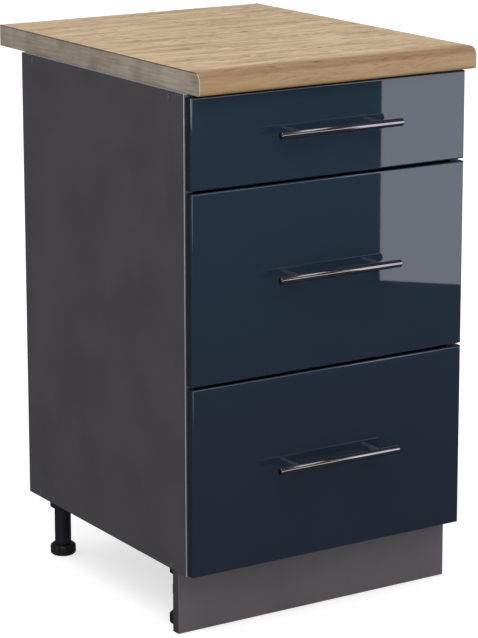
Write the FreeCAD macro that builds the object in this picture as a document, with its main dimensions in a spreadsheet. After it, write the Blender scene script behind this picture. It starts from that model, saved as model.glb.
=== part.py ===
import FreeCAD, Part
import os
import re
import Sketcher

# A free-standing kitchen base unit with a worktop, one shallow drawer and two deep ones.
# X runs to the right, Y to the back and Z up; the origin is on the floor, in the middle of
# the outline seen from above. All sizes are millimetres.

sizes = {
    # carcass
    "cabinet_width": 500,
    "carcass_height": 736,
    "carcass_depth": 500,
    "side_thickness": 16,
    "bottom_thickness": 16,
    "rail_thickness": 16,
    "rail_width": 90,
    "back_thickness": 3,
    "back_inset": 10,               # rear edges of the sides to the outer face of the back
    "groove_depth": 6,
    "panel_play": 0.2,              # a board in its groove or between two walls
    "edge_band_thickness": 1,
    # worktop
    "worktop_left_setback": 6,      # the left side's face to the end of the worktop
    "worktop_right_overhang": 6,
    "worktop_thickness": 34,
    "worktop_front_overhang": 34,
    "worktop_rear_overhang": 86,
    "worktop_nose_radius": 14,
    "worktop_lower_radius": 5,
    "end_band_thickness": 0.8,
    # legs and plinth
    "leg_height": 100,
    "leg_side_inset": 34,
    "leg_front_inset": 66,
    "leg_rear_inset": 50,
    "leg_diameter": 27,
    "leg_flange_diameter": 41,
    "leg_flange_height": 17,
    "leg_cone_height": 5,
    "spigot_diameter": 10,
    "spigot_length": 12,
    "foot_diameter": 42,
    "foot_height": 18,
    "foot_chamfer": 3,
    "foot_gap": 0.5,                # foot disc to the lower end of the leg
    "foot_notch_diameter": 4.6,
    "spindle_diameter": 12,
    "spindle_length": 50,
    "plinth_thickness": 16,
    "plinth_setback": 24,
    "plinth_floor_gap": 1,
    "plinth_top_gap": 1,
    "clip_thickness": 2.6,
    "clip_width": 30,
    "clip_height": 14,
    "clip_level": 48,
    # drawer fronts and handles
    "front_thickness": 16,
    "front_buffer": 1,              # closed fronts to the front edges of the carcass
    "front_side_margin": 2,
    "front_bottom_margin": 2,
    "front_top_margin": 4,
    "front_gap": 4,
    "shallow_front_height": 138,
    "front_edge_radius": 2.5,
    "handle_length": 220,
    "handle_diameter": 12,
    "handle_chamfer": 0.8,
    "handle_reach": 26,             # front face to the axis of the bar
    "handle_rise": 5,               # above the middle of the front
    "post_spacing": 150,
    "post_diameter": 10,
    "handle_screw_diameter": 4,
    "handle_screw_grip": 9,         # thread held inside the post
    "handle_screw_head_diameter": 8,
    "handle_screw_head_height": 2.4,
    # drawer boxes
    "drawer_lift": 26,              # lower edge of a front to the underside of its box
    "drawer_rear_room": 40,         # behind a closed drawer, up to the back panel
    "wall_sheet": 1.2,
    "wall_top_room": 26,            # a steel side to the upper edge of the shallow front
    "wall_flange": 12,
    "wall_rim": 4,
    "front_tab_width": 15,
    "front_tab_drop": 18.8,         # below the upper edge of the steel side
    "drawer_bottom_thickness": 16,
    "drawer_back_thickness": 16,
    "back_top_room": 72.8,          # a deep drawer's back to the upper edge of its front
    "gallery_diameter": 10,
    "gallery_drop": 43.2,           # below the upper edge of the back
    "gallery_inset": 10,
    "gallery_socket_diameter": 16,
    "gallery_socket_length": 10,
    # runners
    "runner_space": 13,             # side panel to the steel wall of a drawer
    "runner_setback": 2,            # behind the front edges of the sides
    "runner_rear_room": 35,         # behind a runner, up to the back panel
    "runner_sheet": 1.2,
    "runner_floor_width": 10.7,
    "runner_lip_width": 8,
    "running_flange_width": 9.5,
    "flange_play": 1,
    "roller_diameter": 18,
    "roller_width": 7,
    "roller_inset": 12,
    "roller_gap": 0.3,              # a roller to the track that it carries or runs on
    "front_roller_lift": 1,
    "roller_pin_diameter": 4,
    "pin_collar_diameter": 6.4,
    "pin_head_thickness": 0.6,
    "web_to_roller": 1.4,
    "running_play": 0.05,           # radial, a pin or spindle in its bore
    # screws
    "confirmat_diameter": 7,
    "confirmat_length": 50,
    "confirmat_head_diameter": 10,
    "confirmat_head_height": 3,
    "confirmat_sink": 0.4,
    "confirmat_socket": 4.6,
    "confirmat_socket_depth": 2,
    "screw_front_inset": 46,
    "screw_rear_inset": 34,
    "screw_play": 0.1,
    "worktop_screw_diameter": 4,
    "worktop_screw_bite": 18,
    "worktop_screw_inset": 110,
    "runner_screw_diameter": 4,
    "runner_screw_bite": 12,
    "runner_screw_head_diameter": 7,
    "runner_screw_head_height": 1,
    "runner_screw_end": 40,
    "worktop_screw_head_diameter": 8,
    "worktop_screw_head_height": 2.2,
}

worked = {
    "left_x": "-(min(0; worktop_left_setback) + cabinet_width + max(0; worktop_right_overhang)) / 2",
    "handle_front": "front_buffer + front_thickness + handle_reach + handle_diameter / 2",
    "front_y": "-(carcass_depth + max(0; worktop_rear_overhang)"
               " - max(worktop_front_overhang; handle_front)) / 2",
    "rear_y": "front_y + carcass_depth",
    "right_x": "left_x + cabinet_width",
    "middle_x": "left_x + cabinet_width / 2",
    "inner_left": "left_x + side_thickness",
    "inner_right": "right_x - side_thickness",
    "inner_width": "cabinet_width - 2 * side_thickness",
    "carcass_top": "leg_height + carcass_height",
    "rail_z": "carcass_top - rail_thickness",
    "back_y": "rear_y - back_inset - back_thickness",
    # boards
    "worktop_x": "left_x + worktop_left_setback",
    "worktop_length": "cabinet_width - worktop_left_setback + worktop_right_overhang",
    "worktop_y": "front_y - worktop_front_overhang",
    "worktop_depth": "worktop_front_overhang + carcass_depth + worktop_rear_overhang",
    "plinth_y": "front_y + plinth_setback",
    "plinth_height": "leg_height - plinth_floor_gap - plinth_top_gap",
    "plinth_rear_y": "plinth_y + plinth_thickness",
    # drawer fronts, from the lowest up
    "front_back_y": "front_y - front_buffer",
    "front_face_y": "front_back_y - front_thickness",
    "front_width": "cabinet_width - 2 * front_side_margin",
    "deep_front_height": "(carcass_height - front_bottom_margin - front_top_margin"
                         " - shallow_front_height) / 2 - front_gap",
    "front_3_z": "leg_height + front_bottom_margin",
    "front_2_z": "front_3_z + deep_front_height + front_gap",
    "front_1_z": "front_2_z + deep_front_height + front_gap",
    "handle_3_z": "front_3_z + deep_front_height / 2 + handle_rise",
    "handle_2_z": "front_2_z + deep_front_height / 2 + handle_rise",
    "handle_1_z": "front_1_z + shallow_front_height / 2 + handle_rise",
    "bar_y": "front_face_y - handle_reach",
    # drawer boxes
    "box_3_z": "front_3_z + drawer_lift",
    "box_2_z": "front_2_z + drawer_lift",
    "box_1_z": "front_1_z + drawer_lift",
    "drawer_rear_y": "back_y - drawer_rear_room",
    "drawer_length": "drawer_rear_y - front_back_y",
    "wall_inner": "runner_space + wall_sheet",
    "drawer_inner_width": "inner_width - 2 * wall_inner",
    "drawer_floor": "wall_sheet + drawer_bottom_thickness",
    "wall_height": "shallow_front_height - drawer_lift - wall_top_room",
    "front_tab_height": "wall_height - drawer_floor - front_tab_drop",
    "deep_back_height": "deep_front_height - drawer_lift - drawer_floor - back_top_room",
    "gallery_height": "drawer_floor + deep_back_height - gallery_drop",
    "shallow_back_height": "wall_height - drawer_floor",
    "drawer_back_y": "drawer_rear_y - drawer_back_thickness",
    # runners and rollers, heights counted from the underside of a drawer box
    "runner_length": "back_y - runner_rear_room - runner_setback - front_y",
    "flange_level": "runner_sheet + front_roller_lift + roller_diameter + roller_gap",
    "runner_height": "flange_level + 2 * wall_sheet + flange_play + runner_sheet",
    "front_roller_level": "runner_sheet + front_roller_lift + roller_diameter / 2",
    "rear_roller_level": "runner_sheet + roller_gap + roller_diameter / 2",
    "front_roller_y": "front_y + runner_setback + roller_inset",
    "rear_roller_y": "drawer_rear_y - roller_inset - runner_setback",
    "roller_start": "runner_sheet + web_to_roller",
    "roller_end": "roller_start + roller_width",
    "runner_screw_level": "(rear_roller_level + pin_collar_diameter / 2"
                          " + runner_height - runner_sheet) / 2",
}

doc = FreeCAD.newDocument("BaseCabinet")


def formula(text, prefix="Worked."):
    """Writes the names of sizes as references to the cells that hold them."""
    def reference(match):
        word = match.group(0)
        if word in sizes:
            return "Sizes." + word
        return prefix + word if word in worked else word
    return re.sub(r"[a-z][a-z_0-9]*", reference, text)


def fill_sheet(name, cells):
    sheet = doc.addObject("Spreadsheet::Sheet", name)
    for row, (alias, content) in enumerate(cells.items(), start=1):
        sheet.set(f"A{row}", alias)
        sheet.set(f"B{row}", content)
        sheet.setAlias(f"B{row}", alias)
    doc.recompute()
    return sheet


size_sheet = fill_sheet("Sizes", {name: str(size) for name, size in sizes.items()})
work_sheet = fill_sheet("Worked", {name: "=" + formula(text, "") for name, text in worked.items()})

nodes = []


def node(item, label):
    """Marks an object as a finished piece and gives it the piece's name."""
    item.Label = label
    nodes.append(item)
    return item


def bind(item, **properties):
    for name, text in properties.items():
        item.setExpression(name, formula(text))


def move(item, x, y, z):
    for axis, text in zip("xyz", (x, y, z)):
        item.setExpression("Placement.Base." + axis, formula(text))


def box(at, size):
    item = doc.addObject("Part::Box", "block")
    bind(item, Length=size[0], Width=size[1], Height=size[2])
    move(item, *at)
    return item


turn_to = {
    "X": FreeCAD.Rotation(FreeCAD.Vector(0, 1, 0), 90),
    "Y": FreeCAD.Rotation(FreeCAD.Vector(1, 0, 0), -90),
    "Z": FreeCAD.Rotation(),
}


def rod(axis, at, diameter, length):
    item = doc.addObject("Part::Cylinder", "rod")
    item.Placement.Rotation = turn_to[axis]
    bind(item, Radius=f"({diameter}) / 2", Height=length)
    move(item, *at)
    return item


def cone(at, lower_diameter, upper_diameter, height):
    item = doc.addObject("Part::Cone", "cone")
    bind(item, Radius1=f"({lower_diameter}) / 2", Radius2=f"({upper_diameter}) / 2", Height=height)
    move(item, *at)
    return item


def hexagon(at, across_corners, length):
    """A six-sided bar along X, the shape of a key's socket."""
    item = doc.addObject("Part::Prism", "hexagon")
    item.Polygon = 6
    item.Placement.Rotation = turn_to["X"]
    bind(item, Circumradius=f"({across_corners}) / 2", Height=length)
    move(item, *at)
    return item


def fuse(pieces):
    item = doc.addObject("Part::MultiFuse", "joined")
    item.Shapes = pieces
    item.Refine = True
    return item


def cut(base, tools):
    item = doc.addObject("Part::Cut", "cut")
    item.Base = base
    item.Tool = tools[0] if len(tools) == 1 else fuse(tools)
    return item


def group(pieces):
    item = doc.addObject("Part::Compound", "set")
    item.Links = pieces
    return item


def from_side(side, offset, width):
    """X of a piece that starts offset mm from the inner face of a side panel."""
    if side == "left":
        return f"inner_left + {offset}"
    return f"inner_right - ({offset}) - ({width})"


def body_with_sketch(name):
    body = doc.addObject("PartDesign::Body", name)
    sketch = body.newObject("Sketcher::SketchObject", name + "_outline")
    plane = [part for part in body.Origin.OriginFeatures if part.Role == "XY_Plane"][0]
    sketch.AttachmentSupport = [(plane, "")]
    sketch.MapMode = "FlatFace"
    return body, sketch


def board(name, at, size):
    """A board as a rectangle in plan, padded to its height."""
    body, sketch = body_with_sketch(name)
    start = 10
    corners = [(0, 0), (start, 0), (start, start), (0, start)]
    points = [FreeCAD.Vector(x, y, 0) for x, y in corners]
    for index in range(4):
        sketch.addGeometry(Part.LineSegment(points[index], points[(index + 1) % 4]))
    for index in range(4):
        sketch.addConstraint(Sketcher.Constraint("Coincident", index, 2, (index + 1) % 4, 1))
    for index in (0, 2):
        sketch.addConstraint(Sketcher.Constraint("Horizontal", index))
        sketch.addConstraint(Sketcher.Constraint("Vertical", index + 1))
    sketch.addConstraint(Sketcher.Constraint("Coincident", 0, 1, -1, 1))
    spans = (("DistanceX", 0, "width", size[0]), ("DistanceY", 1, "depth", size[1]))
    for kind, line, side, text in spans:
        place = sketch.addConstraint(Sketcher.Constraint(kind, line, 1, line, 2, start))
        sketch.renameConstraint(place, side)
        sketch.setExpression("Constraints." + side, formula(text))
    pad = body.newObject("PartDesign::Pad", "height")
    pad.Profile = sketch
    bind(pad, Length=size[2])
    move(body, *at)
    doc.recompute()
    return body


def edges_at(shape, test):
    """Names of the edges whose end points all pass the test."""
    found = []
    for index, edge in enumerate(shape.Edges, start=1):
        if all(test(vertex.Point) for vertex in edge.Vertexes):
            found.append(f"Edge{index}")
    return found


def dress(body, kind, size_name, size_text, test):
    """Adds a fillet or chamfer to the edges of a body that pass the test."""
    previous = body.Tip
    feature = body.newObject("PartDesign::" + kind, kind.lower())
    feature.Base = (previous, edges_at(previous.Shape, test))
    feature.setExpression(size_name, formula(size_text))
    body.Tip = feature
    doc.recompute()


near = 1e-4


# --- carcass ---------------------------------------------------------------------------

confirmat_y = ("front_y + screw_front_inset", "rear_y - screw_rear_inset")
confirmat_z = ("leg_height + bottom_thickness / 2", "rail_z + rail_thickness / 2")
confirmat_spots = [(side, y, z) for side in ("left", "right") for y in confirmat_y for z in confirmat_z]
drawers = ("1", "2", "3")
runner_screw_y = ("front_y + runner_setback + runner_screw_end",
                  "front_y + runner_setback + runner_length / 2",
                  "front_y + runner_setback + runner_length - runner_screw_end")


def confirmat_bore(side, y, z):
    """The stepped hole of one confirmat, through the side and into the board behind it."""
    radius_play = "2 * screw_play"
    shank = rod("X", (from_side(side, "-side_thickness", "confirmat_length"), y, z),
                f"confirmat_diameter + {radius_play}", "confirmat_length")
    depth = "confirmat_sink + confirmat_head_height"
    head = rod("X", (from_side(side, "-side_thickness", depth), y, z),
               f"confirmat_head_diameter + {radius_play}", depth)
    return [shank, head]


def side_panel(side):
    width = "side_thickness"
    panel = box((from_side(side, "-side_thickness", width), "front_y + edge_band_thickness", "leg_height"),
                (width, "carcass_depth - edge_band_thickness", "carcass_height"))
    groove = box((from_side(side, "-groove_depth", "groove_depth"), "back_y - panel_play", "leg_height"),
                 ("groove_depth", "back_thickness + 2 * panel_play", "carcass_height"))
    tools = [groove]
    for spot_side, y, z in confirmat_spots:
        if spot_side == side:
            tools += confirmat_bore(side, y, z)
    for drawer in drawers:
        for y in runner_screw_y:
            at = (from_side(side, "-runner_screw_bite", "runner_screw_bite"), y,
                  f"box_{drawer}_z + runner_screw_level")
            tools.append(rod("X", at, "runner_screw_diameter + 2 * screw_play", "runner_screw_bite"))
    return node(cut(panel, tools), "side_panel_" + side)


def edge_band(side):
    return box((from_side(side, "-side_thickness", "side_thickness"), "front_y", "leg_height"),
               ("side_thickness", "edge_band_thickness", "carcass_height"))


def confirmat(side, y, z):
    """One screw: a shank, a flat head just below the face of the side, and a key socket."""
    start = "-side_thickness + confirmat_sink"
    shank_length = "confirmat_length - confirmat_sink - panel_play"
    shank = rod("X", (from_side(side, start, shank_length), y, z), "confirmat_diameter", shank_length)
    head = rod("X", (from_side(side, start, "confirmat_head_height"), y, z),
               "confirmat_head_diameter", "confirmat_head_height")
    socket = hexagon((from_side(side, start, "confirmat_socket_depth"), y, z),
                     "confirmat_socket", "confirmat_socket_depth")
    return cut(fuse([shank, head]), [socket])


rail_middle_y = ("front_y + rail_width / 2", "back_y - rail_width / 2")
worktop_screw_x = ("inner_left + worktop_screw_inset", "inner_right - worktop_screw_inset")
worktop_screw_spots = [(x, y) for x in worktop_screw_x for y in rail_middle_y]


def top_rail(label, y, place):
    """A flat rail between the sides; place is 0 for the front one and 1 for the rear one."""
    rail = box(("inner_left", y, "rail_z"), ("inner_width", "rail_width", "rail_thickness"))
    tools = []
    for side in ("left", "right"):
        tools += confirmat_bore(side, confirmat_y[place], confirmat_z[1])[:1]
    for x in worktop_screw_x:
        tools.append(rod("Z", (x, rail_middle_y[place], "rail_z"), "worktop_screw_diameter + 2 * screw_play",
                         "rail_thickness"))
    return node(cut(rail, tools), label)


leg_spots = {
    "front_left": ("left_x + leg_side_inset", "front_y + leg_front_inset"),
    "front_right": ("right_x - leg_side_inset", "front_y + leg_front_inset"),
    "rear_left": ("left_x + leg_side_inset", "rear_y - leg_rear_inset"),
    "rear_right": ("right_x - leg_side_inset", "rear_y - leg_rear_inset"),
}


def bottom_panel():
    panel = box(("inner_left", "front_y", "leg_height"),
                ("inner_width", "carcass_depth - back_inset - back_thickness", "bottom_thickness"))
    tools = []
    for side, y, z in confirmat_spots:
        if z == confirmat_z[0]:
            tools += confirmat_bore(side, y, z)[:1]
    for x, y in leg_spots.values():
        tools.append(rod("Z", (x, y, "leg_height"), "spigot_diameter + 2 * screw_play",
                         "spigot_length + panel_play"))
    return node(cut(panel, tools), "bottom_panel")


for side in ("left", "right"):
    side_panel(side)
node(group([edge_band("left"), edge_band("right")]), "side_edge_bands")
bottom_panel()
top_rail("top_rail_front", "front_y", 0)
top_rail("top_rail_rear", "back_y - rail_width", 1)
back_panel = box(("inner_left - groove_depth + panel_play", "back_y", "leg_height"),
                 ("inner_width + 2 * (groove_depth - panel_play)", "back_thickness", "carcass_height"))
node(back_panel, "back_panel")
node(group([confirmat(*spot) for spot in confirmat_spots]), "confirmat_screws")


# --- worktop: one pressed board with a rounded nose, closed at both ends by a thin strip ---

def worktop_slice(name, x, length):
    body = board(name, (x, "worktop_y", "carcass_top"), (length, "worktop_depth", "worktop_thickness"))
    thickness = size_sheet.worktop_thickness
    dress(body, "Fillet", "Radius", "worktop_nose_radius",
          lambda point: abs(point.y) < near and abs(point.z - thickness) < near)
    dress(body, "Fillet", "Radius", "worktop_lower_radius",
          lambda point: abs(point.y) < near and abs(point.z) < near)
    return body


core = worktop_slice("worktop_core", "worktop_x + end_band_thickness",
                     "worktop_length - 2 * end_band_thickness")
screw_bores = [rod("Z", (x, y, "carcass_top"), "worktop_screw_diameter + 2 * screw_play",
                   "worktop_screw_bite + panel_play") for x, y in worktop_screw_spots]
node(cut(core, screw_bores), "worktop")
end_bands = [worktop_slice("left_end", "worktop_x", "end_band_thickness"),
             worktop_slice("right_end", "worktop_x + worktop_length - end_band_thickness",
                           "end_band_thickness")]
node(group(end_bands), "worktop_end_bands")


def worktop_screw(x, y):
    """A pan-head screw from under a top rail up into the worktop."""
    head = rod("Z", (x, y, "rail_z - worktop_screw_head_height"), "worktop_screw_head_diameter",
               "worktop_screw_head_height")
    shank = rod("Z", (x, y, "rail_z"), "worktop_screw_diameter", "rail_thickness + worktop_screw_bite")
    return fuse([head, shank])


node(group([worktop_screw(x, y) for x, y in worktop_screw_spots]), "worktop_screws")


# --- legs, feet and plinth ---------------------------------------------------------------

def leg(spot, x, y):
    """A moulded leg: a tube under a coned flange, with a spigot above and a bore for the foot."""
    start = "foot_height + foot_gap"
    cone_z = "leg_height - leg_flange_height - leg_cone_height"
    tube = rod("Z", (x, y, start), "leg_diameter", f"leg_height - ({start})")
    collar = cone((x, y, cone_z), "leg_diameter", "leg_flange_diameter", "leg_cone_height")
    flange = rod("Z", (x, y, "leg_height - leg_flange_height"), "leg_flange_diameter", "leg_flange_height")
    spigot = rod("Z", (x, y, "leg_height"), "spigot_diameter", "spigot_length")
    bore = rod("Z", (x, y, start), "spindle_diameter + 2 * running_play", "spindle_length + foot_gap")
    return node(cut(fuse([tube, collar, flange, spigot]), [bore]), "leg_" + spot)


def foot(spot, x, y):
    """A round foot with a notched rim on a spindle that turns in the leg."""
    middle = "foot_height - 2 * foot_chamfer"
    narrow = "foot_diameter - 2 * foot_chamfer"
    lower = cone((x, y, "0"), narrow, "foot_diameter", "foot_chamfer")
    disc = rod("Z", (x, y, "foot_chamfer"), "foot_diameter", middle)
    upper = cone((x, y, "foot_height - foot_chamfer"), "foot_diameter", narrow, "foot_chamfer")
    spindle = rod("Z", (x, y, "foot_height"), "spindle_diameter", "spindle_length")
    notch_count = 8
    notches = []
    for index in range(notch_count):
        angle = 360 * index / notch_count
        at = (f"{x} + foot_diameter / 2 * cos({angle})", f"{y} + foot_diameter / 2 * sin({angle})", "0")
        notches.append(rod("Z", at, "foot_notch_diameter", "foot_height"))
    return node(cut(fuse([lower, disc, upper, spindle]), notches), "foot_" + spot)


def plinth_clip(x, y):
    """A plate on the back of the plinth with a ring that snaps round a front leg."""
    outer = "leg_diameter + 2 * clip_thickness"
    plate = box((f"{x} - clip_width / 2", "plinth_rear_y", "clip_level"),
                ("clip_width", "clip_thickness", "clip_height"))
    web = box((f"{x} - clip_thickness", "plinth_rear_y", "clip_level"),
              ("2 * clip_thickness", f"{y} - plinth_rear_y", "clip_height"))
    ring = rod("Z", (x, y, "clip_level"), outer, "clip_height")
    seat = rod("Z", (x, y, "clip_level"), "leg_diameter + 2 * running_play", "clip_height")
    mouth = box((f"{x} - leg_diameter / 2 + clip_thickness", y, "clip_level"),
                ("leg_diameter - 2 * clip_thickness", outer, "clip_height"))
    return cut(fuse([plate, web, ring]), [seat, mouth])


for spot, (x, y) in leg_spots.items():
    leg(spot, x, y)
    foot(spot, x, y)
plinth_board = box(("left_x", "plinth_y", "plinth_floor_gap"),
                   ("cabinet_width", "plinth_thickness", "plinth_height"))
node(plinth_board, "plinth_board")
node(group([plinth_clip(*leg_spots[spot]) for spot in ("front_left", "front_right")]), "plinth_clips")


# --- runners -----------------------------------------------------------------------------

def roller_pin(side, outer_end, inner_end, y, z):
    """A stepped pin, thin inside its roller and wide at both ends: a collar and a riveted head."""
    stations = [outer_end, "roller_start - roller_gap", "roller_end + roller_gap", inner_end]
    diameters = ["pin_collar_diameter", "roller_pin_diameter", "pin_collar_diameter"]
    pieces = []
    for index, diameter in enumerate(diameters):
        length = f"{stations[index + 1]} - ({stations[index]})"
        pieces.append(rod("X", (from_side(side, stations[index], length), y, z), diameter, length))
    return pieces


def runner(drawer, side):
    """A channel on the side panel: the rear roller runs on its floor, a pin carries the front one."""
    base = f"box_{drawer}_z"
    y = "front_y + runner_setback"
    web = box((from_side(side, "0", "runner_sheet"), y, base),
              ("runner_sheet", "runner_length", "runner_height"))
    floor = box((from_side(side, "0", "runner_floor_width"), y, base),
                ("runner_floor_width", "runner_length", "runner_sheet"))
    lip = box((from_side(side, "0", "runner_lip_width"), y, f"{base} + runner_height - runner_sheet"),
              ("runner_lip_width", "runner_length", "runner_sheet"))
    pin = roller_pin(side, "runner_sheet", "roller_end + roller_gap + pin_head_thickness", "front_roller_y",
                     f"{base} + front_roller_level")
    bores = [rod("X", (from_side(side, "0", "runner_sheet"), screw_y, f"{base} + runner_screw_level"),
                 "runner_screw_diameter + 2 * screw_play", "runner_sheet") for screw_y in runner_screw_y]
    return node(cut(fuse([web, floor, lip] + pin), bores), f"runner_{drawer}_{side}")


def runner_screw(drawer, side, y):
    z = f"box_{drawer}_z + runner_screw_level"
    bite = "runner_screw_bite - panel_play"
    shank_length = f"{bite} + runner_sheet"
    shank_x = from_side(side, f"-({bite})", shank_length)
    shank = rod("X", (shank_x, y, z), "runner_screw_diameter", shank_length)
    head = rod("X", (from_side(side, "runner_sheet", "runner_screw_head_height"), y, z),
               "runner_screw_head_diameter", "runner_screw_head_height")
    return fuse([shank, head])


def roller_pair(label, y, z):
    """Two rollers on one line, one at each side of a drawer."""
    rollers = []
    for side in ("left", "right"):
        at = (from_side(side, "roller_start", "roller_width"), y, z)
        wheel = rod("X", at, "roller_diameter", "roller_width")
        bore = rod("X", at, "roller_pin_diameter + 2 * running_play", "roller_width")
        rollers.append(cut(wheel, [bore]))
    return node(group(rollers), label)


for drawer in drawers:
    for side in ("left", "right"):
        runner(drawer, side)
    roller_pair(f"front_rollers_{drawer}", "front_roller_y", f"box_{drawer}_z + front_roller_level")
    roller_pair(f"rear_rollers_{drawer}", "rear_roller_y", f"box_{drawer}_z + rear_roller_level")
node(group([runner_screw(drawer, side, y) for drawer in drawers for side in ("left", "right")
            for y in runner_screw_y]), "runner_screws")


# --- drawers -----------------------------------------------------------------------------

def post_x(side):
    return "middle_x - post_spacing / 2" if side == "left" else "middle_x + post_spacing / 2"


def drawer_front(drawer, height):
    """A board with four rounded face edges and two holes for the handle screws."""
    corner = ("left_x + front_side_margin", "front_face_y", f"front_{drawer}_z")
    body = board(f"front_{drawer}_board", corner, ("front_width", "front_thickness", height))
    dress(body, "Fillet", "Radius", "front_edge_radius", lambda point: abs(point.y) < near)
    holes = [rod("Y", (post_x(side), "front_face_y", f"handle_{drawer}_z"),
                 "handle_screw_diameter + 2 * screw_play", "front_thickness") for side in ("left", "right")]
    return node(cut(body, holes), f"drawer_{drawer}_front")


def steel_wall(drawer, side):
    """A folded steel side: wall, floor flange, doubled running flange, rim, front tab, rear pin."""
    base = f"box_{drawer}_z"
    y = "front_back_y"
    length = "drawer_length"

    def strip(offset, width, z, height):
        return box((from_side(side, offset, width), y, f"{base} + {z}"), (width, length, height))

    rim_offset = "runner_space - wall_rim"
    pieces = [
        strip("runner_space", "wall_sheet", "0", "wall_height"),
        strip("runner_space", "wall_flange", "0", "wall_sheet"),
        strip("runner_space - running_flange_width", "running_flange_width",
              "flange_level", "2 * wall_sheet"),
        strip(rim_offset, "wall_rim", "wall_height - wall_sheet", "wall_sheet"),
        strip(rim_offset, "wall_sheet", "wall_height - wall_rim", "wall_rim"),
        box((from_side(side, "runner_space", "front_tab_width"), y, f"{base} + drawer_floor"),
            ("front_tab_width", "wall_sheet", "front_tab_height")),
    ]
    pieces += roller_pin(side, "roller_start - roller_gap - pin_head_thickness", "runner_space",
                         "rear_roller_y", f"{base} + rear_roller_level")
    return node(fuse(pieces), f"drawer_{drawer}_side_{side}")


def handle_bar(drawer):
    """A round bar, turned from its sketch on the floor plane to lie along X, with broken ends."""
    body, sketch = body_with_sketch(f"bar_{drawer}")
    start = 5
    sketch.addGeometry(Part.Circle(FreeCAD.Vector(0, 0, 0), FreeCAD.Vector(0, 0, 1), start))
    sketch.addConstraint(Sketcher.Constraint("Coincident", 0, 3, -1, 1))
    place = sketch.addConstraint(Sketcher.Constraint("Radius", 0, start))
    sketch.renameConstraint(place, "radius")
    sketch.setExpression("Constraints.radius", formula("handle_diameter / 2"))
    pad = body.newObject("PartDesign::Pad", "length")
    pad.Profile = sketch
    bind(pad, Length="handle_length")
    body.Placement.Rotation = turn_to["X"]
    move(body, "middle_x - handle_length / 2", "bar_y", f"handle_{drawer}_z")
    doc.recompute()
    end = size_sheet.handle_length
    dress(body, "Chamfer", "Size", "handle_chamfer",
          lambda point: abs(point.z) < near or abs(point.z - end) < near)
    return node(body, f"handle_{drawer}_bar")


def handle_post(drawer, side):
    """A round post, coped to the bar at one end and bored for its screw at the other."""
    z = f"handle_{drawer}_z"
    post = rod("Y", (post_x(side), "bar_y", z), "post_diameter", "handle_reach")
    cope = rod("X", (f"{post_x(side)} - post_diameter", "bar_y", z),
               "handle_diameter + 2 * running_play", "2 * post_diameter")
    bore = rod("Y", (post_x(side), "front_face_y - handle_screw_grip - panel_play", z),
               "handle_screw_diameter + 2 * screw_play", "handle_screw_grip + panel_play")
    return cut(post, [cope, bore])


def handle_screw(drawer, side):
    z = f"handle_{drawer}_z"
    shank = rod("Y", (post_x(side), "front_face_y - handle_screw_grip", z), "handle_screw_diameter",
                "handle_screw_grip + front_thickness")
    head = rod("Y", (post_x(side), "front_back_y", z), "handle_screw_head_diameter",
               "handle_screw_head_height")
    return fuse([shank, head])


def gallery_rod(drawer, side):
    """A round side rail from the front to the back of a deep drawer, with a cup at each end."""
    centre = "wall_inner + gallery_inset"
    x = f"inner_left + {centre}" if side == "left" else f"inner_right - ({centre})"
    z = f"box_{drawer}_z + gallery_height"
    length = "drawer_back_y - front_back_y"
    bar = rod("Y", (x, "front_back_y", z), "gallery_diameter", length)
    cups = [rod("Y", (x, y, z), "gallery_socket_diameter", "gallery_socket_length")
            for y in ("front_back_y", "drawer_back_y - gallery_socket_length")]
    return fuse([bar] + cups)


front_heights = {"1": "shallow_front_height", "2": "deep_front_height", "3": "deep_front_height"}
back_heights = {"1": "shallow_back_height", "2": "deep_back_height", "3": "deep_back_height"}
board_x = "inner_left + wall_inner + panel_play"
board_width = "drawer_inner_width - 2 * panel_play"
for drawer in drawers:
    drawer_front(drawer, front_heights[drawer])
    for side in ("left", "right"):
        steel_wall(drawer, side)
    node(box((board_x, "front_back_y", f"box_{drawer}_z + wall_sheet"),
             (board_width, "drawer_length", "drawer_bottom_thickness")), f"drawer_{drawer}_bottom")
    node(box((board_x, "drawer_back_y", f"box_{drawer}_z + drawer_floor"),
             (board_width, "drawer_back_thickness", back_heights[drawer])), f"drawer_{drawer}_back")
    if back_heights[drawer] == "deep_back_height":
        node(group([gallery_rod(drawer, side) for side in ("left", "right")]), f"gallery_rods_{drawer}")
    handle_bar(drawer)
    node(group([handle_post(drawer, side) for side in ("left", "right")]), f"handle_{drawer}_posts")
    node(group([handle_screw(drawer, side) for side in ("left", "right")]), f"handle_{drawer}_screws")


# --- check and write ---------------------------------------------------------------------

doc.recompute()
for item in doc.Objects:
    if "Invalid" in item.State or "Error" in item.State:
        raise RuntimeError(f"{item.Label} failed: {item.State}")
labels = [item.Label for item in nodes]
if len(set(labels)) != len(labels) or len(labels) > 60:
    raise RuntimeError(f"{len(labels)} pieces, {len(set(labels))} names")
for item in nodes:
    if item.Shape.isNull() or not item.Shape.isValid() or not item.Shape.Solids:
        raise RuntimeError(f"{item.Label} has no valid shape")

os.makedirs("parts", exist_ok=True)
for item in nodes:
    item.Shape.exportStep(f"parts/{item.Label}.step")
    print(item.Label, len(item.Shape.Solids), round(item.Shape.Volume / 1000, 2), "cm3")
print(len(nodes), "pieces")
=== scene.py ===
import bmesh
import bpy
import math
from mathutils import Matrix, Vector


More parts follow.
